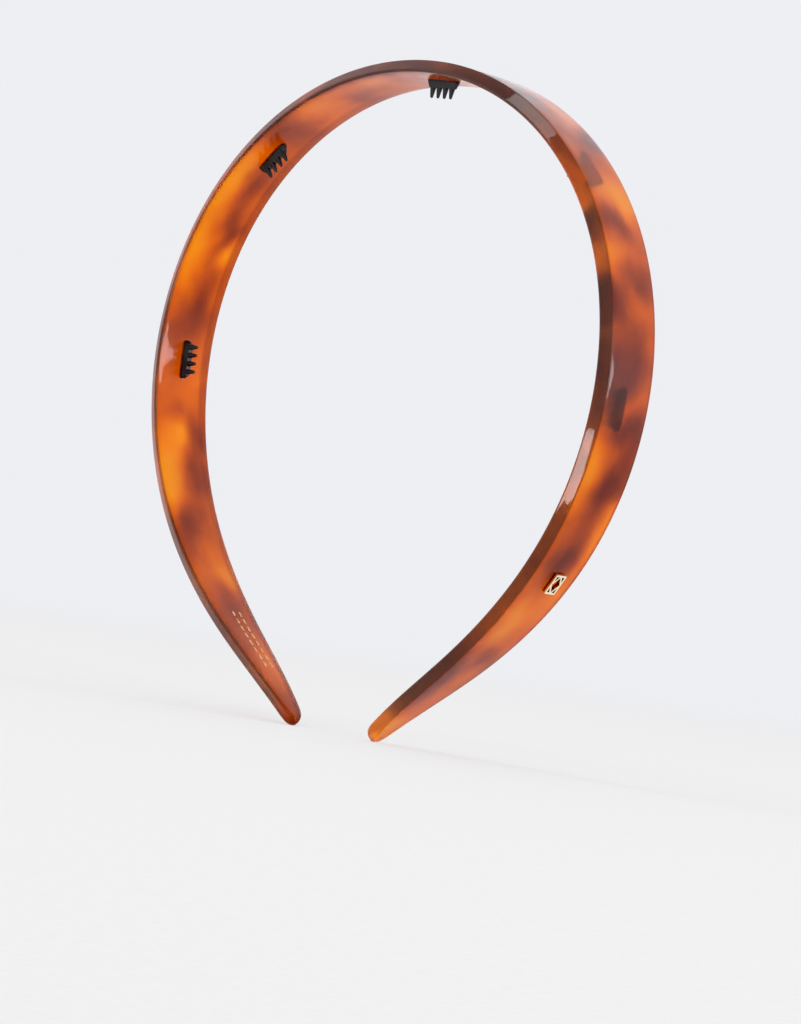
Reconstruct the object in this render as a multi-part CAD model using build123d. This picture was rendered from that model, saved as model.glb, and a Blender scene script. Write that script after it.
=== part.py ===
from build123d import *
import os
from math import cos, sin, sqrt

# Rigid hair band with five glued grip combs, a small metal plaque and a foil decoration.
# Frame: +X points to the arm that carries the plaque, +Y to the back of the head and +Z up.
# The band stands upright on its two tips, and the origin is on the floor below the crown.
# All sizes are millimetres. A station is the signed distance from the crown along the outer
# face: positive down the +X arm, negative down the -X arm.

# ---- band: bend of its outer face, seen from the front --------------------------------------
HALF_LENGTH = 188.0                            # from crown to tip
BEND_FRACTIONS = (0.0, 0.35, 0.70, 0.85, 1.0)  # of that length, where the bend is stated
BEND_RADII = (67.0, 57.0, 69.0, 125.0, -85.0)  # there; a negative radius flares the tips out
STEP = 0.25                                    # walking step along the curve

# ---- band: cross-section ----------------------------------------------------------------------
CROWN_WIDTH = 15.0         # of the inner face, front to back
TIP_WIDTH = 3.8            # of the inner face, before the rounding of the tip
TAPER_START = 0.35         # fraction of the half length where the width starts to fall
TAPER_POWER = 4.3          # a high power keeps the arms wide and tapers them late
CROWN_THICKNESS = 2.8
TIP_THICKNESS = 2.6
CROWN_BEVEL = 1.9          # how far each side slopes in from the inner to the outer face
TIP_BEVEL = 0.8
EDGE_RADIUS = 0.45         # polished round on all four long edges
TIP_ROUND = 3.4            # length over which each tip closes in width
TIP_NOSE = 1.6             # length over which each tip closes in thickness
TIP_SECTIONS = (0.04, 0.25, 0.7, 1.6, 3.4, 6.0)  # distances from the end
SECTION_COUNT = 45         # sections between the two closing tips

# ---- grip combs -----------------------------------------------------------------------------------
COMB_PLACES = {             # station, and offset from the middle towards the front
    "comb_crown": (2.9, 0.0),
    "comb_upper_left": (-48.0, 0.5),
    "comb_upper_right": (49.5, -0.3),
    "comb_left": (-98.2, 0.3),
    "comb_right": (99.5, -0.2),
}
FOOT_LENGTH = 8.0
FOOT_WIDTH = 1.7
FOOT_HEIGHT = 0.35         # straight-sided rim under the tapered bar
BAR_LENGTH = 6.9           # at the top of the bar
BAR_WIDTH = 1.15
BAR_HEIGHT = 1.45          # foot included
TOOTH_COUNT = 4
TOOTH_PITCH = 1.71
TOOTH_HEIGHT = 3.5         # from the underside of the foot
TOOTH_ROOT_RADIUS = 0.85
TOOTH_TIP_RADIUS = 0.26

# ---- adhesive bed under each comb -------------------------------------------------------------------
GLUE_FILM = 0.08           # at the two ends of the foot
GLUE_MARGIN = 0.15         # squeezed out around the foot

# ---- plaque on the outer face of the +X arm -----------------------------------------------------------
PLAQUE_STATION = 134.9
PLAQUE_OFFSET = 0.6        # from the middle towards the back
PLAQUE_LENGTH = 4.5        # along the arm
PLAQUE_WIDTH = 2.8
PLAQUE_HEIGHT = 0.75       # above the band
PLAQUE_BORDER = 0.42
PLAQUE_RIB = 0.36          # width of the lozenge's ribs
PLAQUE_CORNER = 0.3
PIN_RADIUS = 0.35
PIN_LENGTH = 1.2
PIN_SPACING = 3.5
PIN_CLEARANCE = 0.02

# ---- foil decoration on the inner face of the -X arm -----------------------------------------------
FOIL_ROWS = (0.6, -1.2)    # offsets of the two rows from the middle towards the front
FOIL_START = -159.0
FOIL_PITCH = -2.05
FOIL_DASHES = 8            # in each row
FOIL_LENGTH = 1.3
FOIL_WIDTH = 0.5
FOIL_FILM = 0.06

BLANK_DEPTH = 1.5          # extra stock under a fitted piece, trimmed off by the band's surface
ON_BASE = (Align.CENTER, Align.CENTER, Align.MIN)


def mix(start, end, fraction):
    return start + (end - start) * fraction


def curvature(distance):
    """Bend of the outer face, linear between the stated fractions of the half length."""
    fraction = distance / HALF_LENGTH
    i = sum(fraction > limit for limit in BEND_FRACTIONS[1:-1])
    part = (fraction - BEND_FRACTIONS[i]) / (BEND_FRACTIONS[i + 1] - BEND_FRACTIONS[i])
    return mix(1 / BEND_RADII[i], 1 / BEND_RADII[i + 1], part)


def walk_arm():
    """Outer face of one arm as (x, z, tangent angle) at every STEP, from the crown at z = 0."""
    x = z = angle = 0.0
    points = [(x, z, angle)]
    for i in range(round(HALF_LENGTH / STEP)):
        turn = curvature((i + 0.5) * STEP) * STEP
        x += STEP * cos(angle + turn / 2)
        z -= STEP * sin(angle + turn / 2)
        angle += turn
        points.append((x, z, angle))
    return points


ARM = walk_arm()


def plane_at(station, depth=0.0):
    """Plane square to the band: local x is world Y, local y points out of the outer face."""
    place = min(abs(station) / STEP, len(ARM) - 1.0001)
    i = int(place)
    x, z, angle = (mix(a, b, place - i) for a, b in zip(ARM[i], ARM[i + 1]))
    side = 1 if station >= 0 else -1
    x, angle = side * x, side * angle
    origin = (x - depth * sin(angle), 0, z - depth * cos(angle))
    return Plane(origin=origin, x_dir=(0, 1, 0), z_dir=(cos(angle), 0, -sin(angle)))


def face_plane(station, depth, outward):
    """Plane lying on the band: local x runs along the arm, local z out of the outer or inner face."""
    square = plane_at(station, depth)
    normal = square.y_dir if outward else -square.y_dir
    return Plane(origin=square.origin, x_dir=square.z_dir, z_dir=normal)


def thickness_at(station):
    return mix(CROWN_THICKNESS, TIP_THICKNESS, abs(station) / HALF_LENGTH)


def width_at(station):
    run = abs(station) / HALF_LENGTH - TAPER_START
    fraction = max(run / (1 - TAPER_START), 0.0)
    return mix(CROWN_WIDTH, TIP_WIDTH, fraction ** TAPER_POWER)


def closing(station, length):
    """1 along the arm, falling as an ellipse to 0 over the last length before the tip."""
    left = (HALF_LENGTH - abs(station)) / length
    return sqrt(1 - (1 - left) ** 2) if left < 1 else 1.0


def band_section(station):
    """Bevelled, round-edged cross-section, wider on the inner face than on the outer face."""
    width = width_at(station) * closing(station, TIP_ROUND)
    full = thickness_at(station)
    thick = full * closing(station, TIP_NOSE)
    bevel = mix(CROWN_BEVEL, TIP_BEVEL, abs(station) / HALF_LENGTH) * width / width_at(station)
    top = -(full - thick) / 2
    corners = [
        (-width / 2, top - thick),
        (width / 2, top - thick),
        (width / 2 - bevel, top),
        (-width / 2 + bevel, top),
    ]
    outline = Polyline(*corners, close=True)
    radius = min(EDGE_RADIUS, 0.3 * thick, 0.2 * width)
    return plane_at(station) * fillet(make_face(outline).vertices(), radius)


def band_stations():
    tips = [HALF_LENGTH - distance for distance in TIP_SECTIONS]
    limit = tips[-1]
    arms = [mix(-limit, limit, i / SECTION_COUNT) for i in range(1, SECTION_COUNT)]
    return [-tip for tip in tips] + arms + tips[::-1]


def make_band():
    return loft([band_section(station) for station in band_stations()])


def comb_plane(station, offset):
    """Underside of a comb's foot: its two ends almost touch the hollow inner face."""
    radius = 1 / curvature(abs(station)) - thickness_at(station)
    gap = radius - sqrt(radius ** 2 - (FOOT_LENGTH / 2) ** 2)
    depth = thickness_at(station) + gap + GLUE_FILM
    return face_plane(station, depth, outward=False) * Pos(0, offset, 0)


def make_tooth():
    """Round-tipped cone that starts at the foot, so that its root ribs the sides of the bar."""
    tooth = Cone(TOOTH_ROOT_RADIUS, TOOTH_TIP_RADIUS, TOOTH_HEIGHT, align=ON_BASE)
    return fillet(tooth.edges().group_by(Axis.Z)[-1], TOOTH_TIP_RADIUS * 0.95)


def make_comb():
    """Foot, tapered bar and a row of conical teeth, moulded as one piece."""
    foot = extrude(SlotOverall(FOOT_LENGTH, FOOT_WIDTH), FOOT_HEIGHT)
    lower = Pos(0, 0, FOOT_HEIGHT) * SlotOverall(FOOT_LENGTH, FOOT_WIDTH)
    upper = Pos(0, 0, BAR_HEIGHT) * SlotOverall(BAR_LENGTH, BAR_WIDTH)
    bar = loft([lower, upper])
    first = -TOOTH_PITCH * (TOOTH_COUNT - 1) / 2
    teeth = [Pos(first + i * TOOTH_PITCH, 0, 0) * make_tooth() for i in range(TOOTH_COUNT)]
    return foot + bar + teeth


def make_glue(plane, band):
    """Adhesive that fills the hollow between a comb's flat foot and the curved inner face."""
    outline = SlotOverall(FOOT_LENGTH + 2 * GLUE_MARGIN, FOOT_WIDTH + 2 * GLUE_MARGIN)
    return plane * extrude(outline, -BLANK_DEPTH) - band


def plaque_plane():
    return face_plane(PLAQUE_STATION, 0, outward=True) * Pos(0, PLAQUE_OFFSET, 0)


def make_pins(radius):
    """Two round pins under the plaque; a larger radius gives the holes that hold them."""
    pin = Pos(0, 0, -PIN_LENGTH) * Cylinder(radius, PIN_LENGTH + PLAQUE_HEIGHT / 2, align=ON_BASE)
    pair = [Pos(side * PIN_SPACING / 2, 0, 0) * pin for side in (-1, 1)]
    return plaque_plane() * Compound(pair)


def make_plaque(band):
    """Open rectangular frame with a lozenge of ribs, seated on the band's outer face."""
    border = RectangleRounded(PLAQUE_LENGTH, PLAQUE_WIDTH, PLAQUE_CORNER)
    opening = Rectangle(PLAQUE_LENGTH - 2 * PLAQUE_BORDER, PLAQUE_WIDTH - 2 * PLAQUE_BORDER)
    reach_x = (PLAQUE_LENGTH - PLAQUE_BORDER) / 2
    reach_y = (PLAQUE_WIDTH - PLAQUE_BORDER) / 2
    lozenge = Polyline((reach_x, 0), (0, reach_y), (-reach_x, 0), (0, -reach_y), close=True)
    pattern = border & (border - opening + trace(lozenge, PLAQUE_RIB))
    frame = extrude(pattern, PLAQUE_HEIGHT) + extrude(pattern, -BLANK_DEPTH)
    seated = plaque_plane() * frame - band
    return seated + make_pins(PIN_RADIUS)


def make_foil(band):
    """Two rows of plain dashes, each a film pressed on the inner face."""
    blank = Box(FOIL_LENGTH, FOIL_WIDTH, BLANK_DEPTH + FOIL_FILM, align=ON_BASE)
    dashes = []
    for row in FOIL_ROWS:
        for i in range(FOIL_DASHES):
            station = FOIL_START + i * FOIL_PITCH
            plane = face_plane(station, thickness_at(station), outward=False)
            dashes.append(plane * Pos(0, row, -BLANK_DEPTH) * blank - band)
    return Compound(dashes)


def main():
    band = make_band()
    parts = {"plaque": make_plaque(band), "foil_mark": make_foil(band)}
    for name, (station, offset) in COMB_PLACES.items():
        plane = comb_plane(station, offset)
        parts[name] = plane * make_comb()
        parts[name.replace("comb", "glue")] = make_glue(plane, band)
    parts["band"] = band - make_pins(PIN_RADIUS + PIN_CLEARANCE)
    floor = Pos(0, 0, -band.bounding_box().min.Z)
    os.makedirs("parts", exist_ok=True)
    for name, shape in parts.items():
        export_step(floor * shape, f"parts/{name}.step")


main()
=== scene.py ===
from math import cos, radians, sin, sqrt

import bmesh
import bpy
import numpy as np
from mathutils import Matrix, Vector, noise


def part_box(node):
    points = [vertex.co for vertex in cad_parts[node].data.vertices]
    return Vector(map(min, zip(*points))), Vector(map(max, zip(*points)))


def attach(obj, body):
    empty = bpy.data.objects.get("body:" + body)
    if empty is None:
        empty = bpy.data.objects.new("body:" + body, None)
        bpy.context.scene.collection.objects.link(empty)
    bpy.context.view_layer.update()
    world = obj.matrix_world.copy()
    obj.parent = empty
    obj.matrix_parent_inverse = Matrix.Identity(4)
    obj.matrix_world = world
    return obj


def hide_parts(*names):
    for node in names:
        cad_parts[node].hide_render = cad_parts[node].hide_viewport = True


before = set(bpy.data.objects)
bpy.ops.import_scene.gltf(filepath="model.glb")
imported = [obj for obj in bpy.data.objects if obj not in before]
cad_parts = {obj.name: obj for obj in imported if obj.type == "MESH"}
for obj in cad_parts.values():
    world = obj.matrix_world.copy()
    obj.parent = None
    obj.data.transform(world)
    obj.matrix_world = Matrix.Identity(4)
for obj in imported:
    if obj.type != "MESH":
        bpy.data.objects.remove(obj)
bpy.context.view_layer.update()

MM = 0.001

# ---- band, as in the CAD model (millimetres) ---------------------------------------------------
HALF_LENGTH = 188.0
BEND_FRACTIONS = (0.0, 0.35, 0.70, 0.85, 1.0)
BEND_RADII = (67.0, 57.0, 69.0, 125.0, -85.0)
STEP = 0.25
CROWN_WIDTH = 15.0
TIP_WIDTH = 3.8
TAPER_START = 0.35
TAPER_POWER = 4.3
CROWN_THICKNESS = 2.8
TIP_THICKNESS = 2.6
CROWN_BEVEL = 1.9
TIP_BEVEL = 0.8
EDGE_RADIUS = 0.45
TIP_ROUND = 3.4
TIP_NOSE = 1.6
FACE_CROWN = 0.14          # how far polishing rolls the two faces off towards their edges
ROLL_POWER = 4.0
BEVEL_FADE = 7.0           # length over which the bevels blend into each tip

# ---- mesh of the band ----------------------------------------------------------------------------
RING_PITCH = 0.5           # between the cross-sections along the arms
NOSE_RINGS = 14            # closer ones over each rounded tip
NOSE_START = 0.0008        # share of the tip's rounding at which the outermost ring stands
CORNER_POINTS = 7          # on each rounded long edge
FACE_POINTS = 11           # on the outer and on the inner face
BEVEL_POINTS = 3
EDGE_MARGIN = 0.1          # by which the bevels' marks reach past their edges

# ---- tortoiseshell patches: (station, across, half length, half breadth, strength) --------------
# Stations are millimetres from the crown, negative down the -X arm; across is negative at the
# front. A positive strength is honey, a negative one is smoke.
PATCHES = [
    # -X arm, from the crown to the tip
    (-14, -4, 5, 3, 0.5), (-30, -3, 6, 4, 0.5), (-22, 2, 5, 3, -0.6), (-32, 4, 5, 3, 0.3),
    (-41, -3, 5, 4, -0.7), (-39, 3, 4, 3, -0.5), (-54, -5, 7, 3, 1.1), (-56, 2, 5, 2.5, -0.6),
    (-66, 1, 5, 2.5, -0.6), (-62, -5, 5, 3, 0.8), (-75, -5, 8, 3, 1.2), (-75, 4, 3, 2.5, 1.2),
    (-70, 3, 3, 3, -0.6), (-85, 2, 7, 3, -0.8), (-92, -2, 5, 5, -0.5), (-103, 1, 4, 5, 0.1),
    (-109, -1, 4, 2, -0.3), (-115, 0, 4, 2.5, 1.2), (-125, -5, 8, 3.5, 1.5),
    (-114, 4.5, 4, 2.5, -0.9), (-123, 3, 5, 3, -0.7), (-136, -3, 6, 4, -1.0),
    (-133, 3, 5, 2.5, -0.3), (-148, 4, 4, 2.5, 0.8), (-155, 1, 4, 3, -0.5), (-165, -2, 8, 4, -0.4),
    (-170, 2, 5, 2, 0.5), (-176, 2, 6, 2, 0.3), (-185, 0, 6, 4, -0.4),
    # +X arm, from the crown to the tip
    (12, -3, 6, 4, -0.3), (24, -3, 9, 4, -1.8), (34, 3, 6, 3, 0.5), (42, 4.5, 3.5, 2.5, -1.6),
    (57, 3, 5, 4, 1.3), (54, -4, 4, 3, 0.6), (63, -1, 3.5, 4, -1.0), (70, -4.5, 4, 3, 0.8),
    (75, 2, 3.5, 4, -0.8), (80, -5, 3.5, 3, -1.1), (85, 0, 3, 6, -0.3), (92, 0, 5, 6, -1.3),
    (97.5, 2, 2.2, 3, 0.1), (103, 1, 3, 5, -1.1), (97, -5, 6, 2.5, -0.9), (108, 5, 6, 2, -0.8),
    (112, -5.5, 8, 3, 1.1), (108, 3, 3, 3, -0.1), (115, 1.5, 5, 3, -1.6), (124, 6, 6, 2, 0.9),
    (129, 0, 5, 3.5, -1.7), (139, 4.5, 7, 2, 0.6), (147, -1.5, 6, 3, 1.0), (156, 1.5, 4, 2.5, -0.7),
    (165, 1.5, 4, 2, 0.3), (165, -4, 8, 2.5, -1.7), (184, -1, 4, 3, 1.7),
    # front edge
    (-75, -7.2, 35, 1, -0.2), (-14, -7.2, 25, 1, -1.4), (26, -7.2, 16, 1, -1.4),
    (53, -7.2, 8, 1, 2.2), (63.5, -7.2, 3.5, 1, -1.4), (72, -7.2, 4, 1, 0.9),
    (81, -7.2, 4, 1, -1.6), (96, -7.2, 8, 1, 0.3), (112, -7.2, 5, 1, -0.6),
]

# ---- how the patches' outlines wander, and the finer pattern (millimetres) ----------------------
DRIFT_PITCH = (0.09, 0.16, 0.1)    # waves per millimetre along, across and into the sheet
DRIFT_LEVEL = 3.0          # where in the noise the outer face lies
# Of the seeds from 1 to 3000, the one whose wander moves the patches of the arms least.
# Without a seed the noise takes the clock, and every run differs.
WANDER_SEED = 2589
DRIFT_COARSE = 2.0         # how far the broad waves push a patch's outline
DRIFT_FINE = 0.9           # and the finer ones
FINE_PITCH = 2.7           # how much shorter those are
DRIFT_ALONG = 1.5          # the push along the arm, as a multiple of the push across it
CLOUD_STRENGTH = 0.9       # of the small clouds that are mixed into the patches
WISP_STRENGTH = 0.22       # and of the wisps inside those
POLISH_STRETCH = 0.03      # width of a polishing line as a share of its length

# ---- camera, floor and light (metres) -------------------------------------------------------------
CAMERA_PLACE = (0.4644, -0.4729, 0.0313)
CAMERA_AIM = (0.0042, 0.0050, 0.0447)
CAMERA_ROLL = 8.83         # degrees
CAMERA_LENS = 119.45       # focal length in millimetres
CAMERA_SENSOR = 36         # width of its sensor in millimetres
BRIGHT_WALL = (-0.50, 0.72, 0.45)   # direction; the outer face beside the crown mirrors it
DARK_WALL = (-0.93, 0.13, 0.30)     # direction; the front bevel of the -X arm mirrors it
FLOOR_RADIUS = 0.9
FADE_START = 0.35 * FLOOR_RADIUS       # the floor fades out between these two distances
FADE_END = 0.95 * FLOOR_RADIUS
BACKDROP = (0.855, 0.863, 0.896)       # what the camera sees behind the floor
SIDE_LIGHT = (1.10, 1.10, 1.12)        # the surround up to three fifths of the way to the zenith
TOP_LIGHT = (0.55, 0.55, 0.57)         # and above four fifths
BLACK_LEVEL = 0.012                    # tones below this turn black in the picture


# ---- shape of the band -----------------------------------------------------------------------------

def mix(start, end, fraction):
    return start + (end - start) * fraction


def curvature(distance):
    """1 / bend radius of an arm at a distance from the crown, straight between the stated places."""
    fraction = distance / HALF_LENGTH
    i = sum(fraction > limit for limit in BEND_FRACTIONS[1:-1])
    part = (fraction - BEND_FRACTIONS[i]) / (BEND_FRACTIONS[i + 1] - BEND_FRACTIONS[i])
    return mix(1 / BEND_RADII[i], 1 / BEND_RADII[i + 1], part)


def walk_arm():
    """Outer face of one arm as (x, z, tangent angle) at every STEP, from the crown at z = 0."""
    x = z = angle = 0.0
    points = [(x, z, angle)]
    for i in range(round(HALF_LENGTH / STEP)):
        turn = curvature((i + 0.5) * STEP) * STEP
        x += STEP * cos(angle + turn / 2)
        z -= STEP * sin(angle + turn / 2)
        angle += turn
        points.append((x, z, angle))
    return points


ARM = walk_arm()
CROWN_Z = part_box("band")[1][2] / MM


def place(station, across, depth):
    """A point of the band in metres: depth is measured inwards from the outer face."""
    spot = min(abs(station) / STEP, len(ARM) - 1)
    i = min(int(spot), len(ARM) - 2)
    x, z, angle = (mix(a, b, spot - i) for a, b in zip(ARM[i], ARM[i + 1]))
    side = 1 if station >= 0 else -1
    return Vector((side * (x - depth * sin(angle)), across, CROWN_Z + z - depth * cos(angle))) * MM


def thickness_at(station):
    return mix(CROWN_THICKNESS, TIP_THICKNESS, abs(station) / HALF_LENGTH)


def width_at(station):
    run = abs(station) / HALF_LENGTH - TAPER_START
    return mix(CROWN_WIDTH, TIP_WIDTH, max(run / (1 - TAPER_START), 0.0) ** TAPER_POWER)


def closing(station, length):
    """1 along the arm, falling along a quarter circle to 0 over the last length of each tip."""
    left = (HALF_LENGTH - abs(station)) / length
    return sqrt(1 - (1 - left) ** 2) if left < 1 else 1.0


def rounded_corner(before, corner, after, radius):
    """Points of the arc that rounds one corner of a convex outline."""
    a = (Vector(before) - Vector(corner)).normalized()
    b = (Vector(after) - Vector(corner)).normalized()
    half = a.angle(b) / 2
    centre = Vector(corner) + (a + b).normalized() * radius / sin(half)
    reach = radius * cos(half) / sin(half)
    start = (Vector(corner) + a * reach - centre) / radius
    end = (Vector(corner) + b * reach - centre) / radius
    shares = [i / (CORNER_POINTS - 1) for i in range(CORNER_POINTS)]
    return [centre + start.slerp(end, share) * radius for share in shares]


def cross_section(station):
    """One closed ring as (across, depth) points: two faces, two bevels and four round edges."""
    width = width_at(station) * closing(station, TIP_ROUND)
    full = thickness_at(station)
    thick = full * closing(station, TIP_NOSE)
    bevel = mix(CROWN_BEVEL, TIP_BEVEL, abs(station) / HALF_LENGTH) * width / width_at(station)
    top = (full - thick) / 2
    radius = min(EDGE_RADIUS, 0.3 * thick, 0.2 * width)      # smaller where a tip closes
    corners = [
        (-width / 2, top + thick),
        (width / 2, top + thick),
        (width / 2 - bevel, top),
        (-width / 2 + bevel, top),
    ]
    between = (FACE_POINTS, BEVEL_POINTS, FACE_POINTS, BEVEL_POINTS)
    arcs = [rounded_corner(corners[i - 1], corners[i], corners[(i + 1) % 4], radius) for i in range(4)]
    ring = []
    for i in range(4):
        arc, following = arcs[i], arcs[(i + 1) % 4]
        ring.extend(arc)
        for j in range(1, between[i] + 1):
            ring.append(arc[-1].lerp(following[0], j / (between[i] + 1)))
    return [rolled_off(point, width, full) for point in ring]


def rolled_off(point, width, full):
    """Moves a point of either face slightly into the sheet, the more the nearer to its edge."""
    roll = FACE_CROWN * min(abs(point[0]) / (width / 2), 1.0) ** ROLL_POWER
    middle = full / 2
    toward = (middle - point[1]) / middle
    return (point[0], point[1] + roll * toward)


def stations():
    """Ring places from tip to tip, closer over the rounded ends."""
    nose = [HALF_LENGTH - TIP_ROUND * (i / NOSE_RINGS) ** 2 for i in range(1, NOSE_RINGS + 1)]
    nose.insert(0, HALF_LENGTH - TIP_ROUND * NOSE_START)
    limit = nose[-1]
    count = round(2 * limit / RING_PITCH)
    arms = [mix(-limit, limit, i / count) for i in range(1, count)]
    return [-n for n in nose] + arms + nose[::-1]


def patch_field(marks):
    """How much honey (positive) or smoke (negative) each spot of the sheet holds."""
    noise.seed_set(WANDER_SEED)
    wander = []
    for station, across, depth in marks:
        spot = Vector((
            station * DRIFT_PITCH[0],
            across * DRIFT_PITCH[1],
            DRIFT_LEVEL + depth * DRIFT_PITCH[2],
        ))
        broad = noise.noise_vector(spot) * DRIFT_COARSE
        fine = noise.noise_vector(spot * FINE_PITCH) * DRIFT_FINE
        drift = broad + fine
        wander.append((station + drift.x * DRIFT_ALONG, across + drift.y))
    spots = np.array(wander)
    total = np.zeros(len(spots))
    for centre, middle, length, breadth, strength in PATCHES:
        distance = ((spots - (centre, middle)) / (length, breadth)) ** 2
        total += strength * np.exp(-distance.sum(axis=1))
    return total


def make_band():
    """The band as one closed quad mesh, with its own coordinates stored for the acetate."""
    mesh = bpy.data.meshes.new("band_shell")
    rings = [(station, cross_section(station)) for station in stations()]
    size = len(rings[0][1])
    verts, faces, marks = [], [], []
    for station, ring in rings:
        for point in ring:
            verts.append(place(station, point[0], point[1]))
            marks.append((station, point[0], point[1]))
    for r in range(len(rings) - 1):
        for i in range(size):
            a, b = r * size + i, r * size + (i + 1) % size
            faces.append((a, b, b + size, a + size))
    faces.append(tuple(range(size))[::-1])
    faces.append(tuple(range((len(rings) - 1) * size, len(rings) * size)))
    mesh.from_pydata(verts, [], faces)
    mesh.update()
    add_marks(mesh, marks)
    bm = bmesh.new()
    bm.from_mesh(mesh)
    bmesh.ops.recalc_face_normals(bm, faces=bm.faces)
    bm.to_mesh(mesh)
    bm.free()
    mesh.shade_smooth()
    shell = bpy.data.objects.new("band_shell", mesh)
    bpy.context.scene.collection.objects.link(shell)
    return shell


def bevel_share(station, across, depth):
    """1 on the two sloping edges, 0 on the outer and inner faces and at the very tips."""
    width = width_at(station) * closing(station, TIP_ROUND)
    bevel = mix(CROWN_BEVEL, TIP_BEVEL, abs(station) / HALF_LENGTH) * width / width_at(station)
    inset = width / 2 - abs(across)
    inside = depth > thickness_at(station) - EDGE_MARGIN
    if inside or inset > bevel + EDGE_MARGIN:
        return 0.0
    return min(1.0, (HALF_LENGTH - abs(station)) / BEVEL_FADE)


def add_marks(mesh, marks):
    """Stores the patch field and the place on the section for the acetate's nodes."""
    values = {
        "honey": patch_field(marks),
        "bevel": [bevel_share(*mark) for mark in marks],
        "across": [across for station, across, depth in marks],
        "station": [station for station, across, depth in marks],
        "depth": [depth for station, across, depth in marks],
    }
    for name, data in values.items():
        layer = mesh.attributes.new(name, "FLOAT", "POINT")
        layer.data.foreach_set("value", data)


# ---- shader helpers ----------------------------------------------------------------------------

class Nodes:
    """A short hand for building one material's node tree."""

    def __init__(self, name):
        self.material = bpy.data.materials.new(name)
        self.material.use_nodes = True
        self.tree = self.material.node_tree
        self.shader = self.tree.nodes["Principled BSDF"]

    def add(self, kind, **settings):
        node = self.tree.nodes.new(kind)
        for key, value in settings.items():
            setattr(node, key, value)
        return node

    def link(self, out, into):
        self.tree.links.new(out, into)

    def attribute(self, name):
        return self.add("ShaderNodeAttribute", attribute_name=name).outputs["Fac"]

    def place(self):
        return self.add("ShaderNodeTexCoord").outputs["Object"]

    def math(self, operation, a, b):
        node = self.add("ShaderNodeMath", operation=operation)
        for socket, value in zip(node.inputs, (a, b)):
            if isinstance(value, (int, float)):
                socket.default_value = value
            else:
                self.link(value, socket)
        return node.outputs[0]

    def noise(self, scale, detail=2.0, roughness=0.5, distortion=0.0, vector=None):
        node = self.add("ShaderNodeTexNoise")
        node.inputs["Scale"].default_value = scale
        node.inputs["Detail"].default_value = detail
        node.inputs["Roughness"].default_value = roughness
        node.inputs["Distortion"].default_value = distortion
        self.link(vector or self.place(), node.inputs["Vector"])
        return node.outputs["Fac"]

    def ramp(self, value, stops, interpolation="EASE"):
        node = self.add("ShaderNodeValToRGB")
        node.color_ramp.interpolation = interpolation
        elements = node.color_ramp.elements
        while len(elements) < len(stops):
            elements.new(0.5)
        for element, (position, color) in zip(elements, stops):
            element.position = position
            element.color = (*color, 1.0)
        self.link(value, node.inputs["Fac"])
        return node.outputs["Color"]

    def spread(self, value, low, high, new_low=0.0, new_high=1.0):
        node = self.add("ShaderNodeMapRange", interpolation_type="SMOOTHSTEP")
        node.inputs["From Min"].default_value = low
        node.inputs["From Max"].default_value = high
        node.inputs["To Min"].default_value = new_low
        node.inputs["To Max"].default_value = new_high
        self.link(value, node.inputs["Value"])
        return node.outputs["Result"]

    def blend(self, share, first, second):
        """Mixes two colours; the node's sockets 6 and 7 take them and its output 2 gives the mix."""
        node = self.add("ShaderNodeMix", data_type="RGBA")
        self.link(share, node.inputs[0])
        for socket, value in ((node.inputs[6], first), (node.inputs[7], second)):
            if isinstance(value, tuple):
                socket.default_value = (*value, 1.0)
            else:
                self.link(value, socket)
        return node.outputs[2]

    def bump(self, height, strength, distance):
        node = self.add("ShaderNodeBump")
        node.inputs["Strength"].default_value = strength
        node.inputs["Distance"].default_value = distance
        self.link(height, node.inputs["Height"])
        self.link(node.outputs["Normal"], self.shader.inputs["Normal"])

    def set(self, **values):
        """Sets or links inputs of the shader: base_color stands for "Base Color" and so on."""
        for key, value in values.items():
            socket = self.shader.inputs[key.replace("_", " ").title().replace("Ior", "IOR")]
            if isinstance(value, (int, float, tuple)):
                socket.default_value = value
            else:
                self.link(value, socket)


# ---- materials -------------------------------------------------------------------------------------

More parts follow.
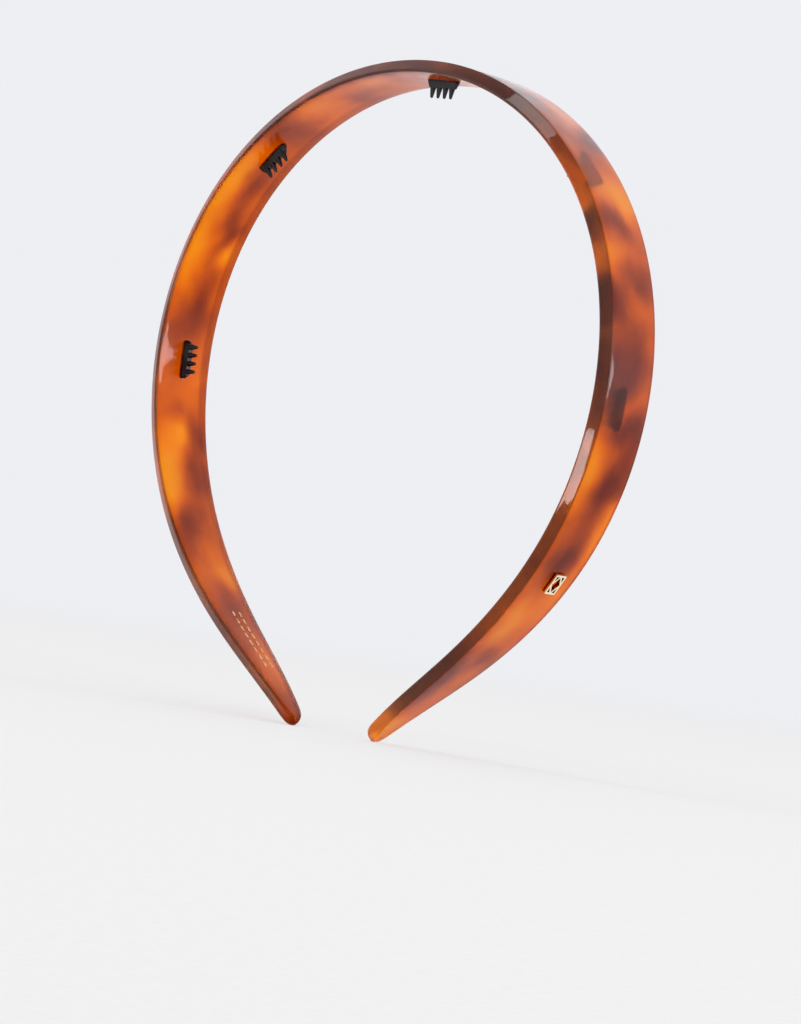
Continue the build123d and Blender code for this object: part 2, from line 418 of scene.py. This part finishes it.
def acetate():
    """Polished tortoiseshell acetate: honey and smoke clouds under a clear gloss, with painted shade
    on the bevels.
    """
    n = Nodes("acetate")
    where = n.place()
    clouds = n.noise(90, detail=3.0, roughness=0.5, distortion=0.6, vector=where)
    wisps = n.noise(320, detail=3.0, roughness=0.6, distortion=1.2, vector=where)
    tone = n.attribute("honey")
    for pattern, strength in ((clouds, CLOUD_STRENGTH), (wisps, WISP_STRENGTH)):
        around_zero = n.math("SUBTRACT", pattern, 0.5)
        tone = n.math("ADD", tone, n.math("MULTIPLY", around_zero, strength))
    share = n.spread(tone, -1.45, 1.6)
    body = n.ramp(share, [
        (0.05, (0.15, 0.018, 0.010)),
        (0.28, (0.38, 0.055, 0.010)),
        (0.50, (0.72, 0.124, 0.003)),
        (0.72, (0.89, 0.21, 0.001)),
        (0.95, (0.95, 0.35, 0.004)),
    ], interpolation="B_SPLINE")
    # Painted shade: the bevels get a darker colour than the faces. It stands in for the longer path
    # that light takes through the sheet where it is seen edge-on; the honey patches there stay
    # lighter.
    edge_on_shade = n.ramp(share, [
        (0.10, (0.035, 0.014, 0.012)),
        (0.50, (0.085, 0.034, 0.018)),
        (0.85, (0.80, 0.28, 0.02)),
    ], interpolation="B_SPLINE")
    outside = n.math("SUBTRACT", 1.0, n.add("ShaderNodeNewGeometry").outputs["Backfacing"])
    # the painted shade is laid on the outer side of the bevels only
    color = n.blend(n.math("MULTIPLY", n.attribute("bevel"), outside), body, edge_on_shade)
    smudges = n.noise(160, detail=3.0, vector=where)
    n.set(base_color=color, roughness=n.spread(smudges, 0.3, 0.7, 0.28, 0.38), ior=1.49)
    n.set(transmission_weight=0.97, specular_tint=(0.0, 0.0, 0.0, 1.0))
    n.set(coat_weight=n.spread(n.attribute("bevel"), 0.0, 1.0, 0.32, 0.8))
    n.set(coat_roughness=0.02, coat_ior=1.49)
    n.set(subsurface_weight=1.0, subsurface_scale=0.002)
    n.shader.inputs["Subsurface Radius"].default_value = (1.0, 0.35, 0.12)
    n.bump(polish_lines(n), 0.25, 0.00002)
    n.link(n.shader.inputs["Normal"].links[0].from_socket, n.shader.inputs["Coat Normal"])
    depth = n.add("ShaderNodeVolumeAbsorption")
    depth.inputs["Color"].default_value = (0.92, 0.75, 0.2, 1.0)
    depth.inputs["Density"].default_value = 200
    n.link(depth.outputs["Volume"], n.tree.nodes["Material Output"].inputs["Volume"])
    return n.material


def polish_lines(n):
    """Faint lines that run along the arms, left by the polishing wheel."""
    along = n.add("ShaderNodeCombineXYZ")
    n.link(n.math("MULTIPLY", n.attribute("station"), POLISH_STRETCH), along.inputs["X"])
    n.link(n.attribute("across"), along.inputs["Y"])
    n.link(n.attribute("depth"), along.inputs["Z"])
    return n.noise(2.2, detail=4.0, roughness=0.6, vector=along.outputs["Vector"])


def comb_plastic():
    """Satin black moulded plastic with a fine spark-eroded skin."""
    n = Nodes("comb_plastic")
    grain = n.noise(5200, detail=2.0)
    soft = n.noise(420, detail=2.0)
    color = n.ramp(soft, [(0.3, (0.012, 0.012, 0.013)), (0.7, (0.028, 0.028, 0.030))])
    n.set(base_color=color, roughness=n.spread(soft, 0.3, 0.7, 0.34, 0.48), ior=1.42)
    n.bump(grain, 0.25, 0.00003)
    return n.material


def plaque_metal():
    """Polished pale gold plating, with painted shade: brown in the corners and recesses that ambient
    occlusion finds.
    """
    n = Nodes("plaque_metal")
    marks = n.noise(1800, detail=3.0, distortion=0.8)
    tone = n.noise(500, detail=2.0)
    gold = n.ramp(tone, [(0.3, (0.98, 0.82, 0.55)), (0.7, (1.0, 0.90, 0.68))])
    # Painted shade: ambient occlusion turns the corners, the walls of the openings and the foot
    # against the band dark brown.
    corner = n.add("ShaderNodeAmbientOcclusion", samples=8)
    corner.inputs["Distance"].default_value = 0.0009
    unshaded_share = n.spread(corner.outputs["AO"], 0.60, 0.95)
    color = n.blend(unshaded_share, (0.10, 0.03, 0.012), gold)
    n.set(base_color=color, metallic=1.0, roughness=n.spread(marks, 0.35, 0.7, 0.10, 0.24))
    n.bump(marks, 0.12, 0.00002)
    return n.material


def foil():
    """Worn matt gold foil, thin enough that the acetate tints it."""
    n = Nodes("foil")
    wear = n.noise(2600, detail=4.0, roughness=0.65)
    color = n.ramp(wear, [(0.35, (0.50, 0.16, 0.06)), (0.60, (0.80, 0.50, 0.25))])
    n.set(base_color=color, metallic=0.4, roughness=n.spread(wear, 0.3, 0.7, 0.32, 0.5))
    n.bump(wear, 0.2, 0.00002)
    return n.material


def adhesive():
    """Cured glue, clear in the real part; its base colour is painted with the orange glow that the
    band behind it sends through.
    """
    n = Nodes("adhesive")
    cloud = n.noise(900, detail=3.0)
    # Painted light: the orange of the band seen through the clear glue.
    color = n.ramp(cloud, [(0.3, (0.16, 0.022, 0.008)), (0.7, (0.45, 0.075, 0.015))])
    n.set(base_color=color, roughness=n.spread(cloud, 0.3, 0.7, 0.10, 0.22), ior=1.47)
    n.bump(cloud, 0.3, 0.00005)
    return n.material


def dress(obj, material):
    obj.data.materials.clear()
    obj.data.materials.append(material)


def dress_small_parts():
    """Gives the combs, glue beds, plaque and foil of the CAD model their materials."""
    finishes = {"comb": comb_plastic(), "glue": adhesive(), "plaque": plaque_metal(), "foil": foil()}
    for name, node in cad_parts.items():
        for start, material in finishes.items():
            if name.startswith(start):
                dress(node, material)


# ---- stage ---------------------------------------------------------------------------------------

def make_floor():
    """Pale disc that fades out at its rim, so that no horizon shows."""
    bm = bmesh.new()
    bmesh.ops.create_circle(bm, cap_ends=True, segments=96, radius=FLOOR_RADIUS)
    mesh = bpy.data.meshes.new("floor")
    bm.to_mesh(mesh)
    bm.free()
    floor = bpy.data.objects.new("floor", mesh)
    bpy.context.scene.collection.objects.link(floor)
    n = Nodes("floor_paper")
    spot = n.add("ShaderNodeVectorMath", operation="LENGTH")
    n.link(n.place(), spot.inputs[0])
    fibre = n.noise(700, detail=2.0)
    color = n.ramp(fibre, [(0.3, (0.32, 0.32, 0.32)), (0.7, (0.335, 0.335, 0.335))])
    n.set(base_color=color, roughness=0.9, specular_ior_level=0.0)
    n.set(emission_color=(1.0, 1.0, 1.0, 1.0), emission_strength=0.53)
    n.set(alpha=n.spread(spot.outputs["Value"], FADE_START, FADE_END, 1.0, 0.0))
    dress(floor, n.material)


def wall_tone(tree, direction, wall, wide, color):
    """A colour that fades in over the rays that head towards one wall."""
    facing = tree.nodes.new("ShaderNodeVectorMath")
    facing.operation = "DOT_PRODUCT"
    facing.inputs[1].default_value = Vector(wall).normalized()
    tree.links.new(direction, facing.inputs[0])
    fade = tree.nodes.new("ShaderNodeValToRGB")
    fade.color_ramp.interpolation = "EASE"
    fade.color_ramp.elements[0].position = wide
    fade.color_ramp.elements[1].position = 1.0
    fade.color_ramp.elements[1].color = (*color, 1.0)
    tree.links.new(facing.outputs["Value"], fade.inputs["Fac"])
    return fade.outputs["Color"]


def join_tones(tree, mode, first, second):
    """Adds the second colour to the first or takes it away."""
    both = tree.nodes.new("ShaderNodeMix")
    both.data_type = "RGBA"
    both.blend_type = mode
    both.inputs[0].default_value = 1.0
    tree.links.new(first, both.inputs[6])
    tree.links.new(second, both.inputs[7])
    return both.outputs[2]


def make_world():
    """Studio surround with one bright and one dark wall; a plain backdrop to the camera."""
    world = bpy.data.worlds.new("studio")
    world.use_nodes = True
    tree = world.node_tree
    nodes, links = tree.nodes, tree.links
    direction = nodes.new("ShaderNodeTexCoord").outputs["Generated"]

    split = nodes.new("ShaderNodeSeparateXYZ")
    links.new(direction, split.inputs[0])
    surround = nodes.new("ShaderNodeValToRGB")
    surround.color_ramp.elements[0].position = 0.60
    surround.color_ramp.elements[0].color = (*SIDE_LIGHT, 1.0)
    surround.color_ramp.elements[1].position = 0.80
    surround.color_ramp.elements[1].color = (*TOP_LIGHT, 1.0)
    links.new(split.outputs["Z"], surround.inputs["Fac"])

    dark = wall_tone(tree, direction, DARK_WALL, 0.80, (0.40, 0.52, 0.52))
    bright = wall_tone(tree, direction, BRIGHT_WALL, 0.88, (0.22, 0.24, 0.26))
    light = join_tones(tree, "SUBTRACT", surround.outputs["Color"], dark)
    light = join_tones(tree, "ADD", light, bright)

    seen = nodes.new("ShaderNodeMix")
    seen.data_type = "RGBA"
    seen.inputs[7].default_value = (*BACKDROP, 1.0)
    links.new(nodes.new("ShaderNodeLightPath").outputs["Is Camera Ray"], seen.inputs[0])
    links.new(light, seen.inputs[6])
    links.new(seen.outputs[2], nodes["Background"].inputs["Color"])
    bpy.context.scene.world = world


def add_softbox(name, at, aim, size, watts, turn=0.0):
    """Rectangular lamp that faces a point; turn rolls it about that line, in degrees."""
    light = bpy.data.lights.new(name, "AREA")
    light.shape = "RECTANGLE"
    light.size = size[0]
    light.size_y = size[1]
    light.energy = watts
    obj = bpy.data.objects.new(name, light)
    bpy.context.scene.collection.objects.link(obj)
    obj.location = at
    look = (Vector(aim) - Vector(at)).to_track_quat("-Z", "Y").to_matrix()
    obj.rotation_euler = (look @ Matrix.Rotation(radians(turn), 3, "Z")).to_euler()
    obj.visible_camera = False
    return obj


def make_lights():
    """Places and sizes in metres."""
    add_softbox("key_softbox", at=(-0.235, -0.55, 1.05), aim=(0, 0, 0.1), size=(0.30, 0.40), watts=1.2)
    add_softbox("side_softbox", at=(0.80, 0.54, 0.18), aim=(0, 0, 0.07), size=(0.24, 0.24), watts=2.2,
                turn=45)
    add_softbox("rim_softbox", at=(1.0, -0.25, 0.30), aim=(0, 0, 0.07), size=(0.10, 0.5), watts=1.5)
    card = add_softbox("front_card", at=(0.067, -0.12, 0.037), aim=(0.053, -0.007, 0.049),
                       size=(0.04, 0.038), watts=0.042)
    card.visible_diffuse = False          # it only shows as a gleam on the bevel
    card.visible_transmission = False
    add_softbox("top_softbox", at=(0.0, 0.0, 1.6), aim=(0, 0, 0.1), size=(0.9, 0.9), watts=3)


def make_camera():
    data = bpy.data.cameras.new("camera")
    data.sensor_width = CAMERA_SENSOR
    data.lens = CAMERA_LENS
    data.clip_start = 0.01
    data.clip_end = 20
    camera = bpy.data.objects.new("camera", data)
    bpy.context.scene.collection.objects.link(camera)
    camera.location = CAMERA_PLACE
    look = (Vector(CAMERA_AIM) - Vector(CAMERA_PLACE)).to_track_quat("-Z", "Y")
    roll = Matrix.Rotation(radians(CAMERA_ROLL), 3, "Z")
    camera.rotation_euler = (look.to_matrix() @ roll).to_euler()
    bpy.context.scene.camera = camera


def set_view():
    view = bpy.context.scene.view_settings
    view.view_transform = "Standard"
    view.use_curve_mapping = True
    view.curve_mapping.black_level = (BLACK_LEVEL, BLACK_LEVEL, BLACK_LEVEL)


make_camera()
make_world()
make_lights()
make_floor()
band = make_band()
dress(band, acetate())
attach(band, "root")
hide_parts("band")
dress_small_parts()
set_view()
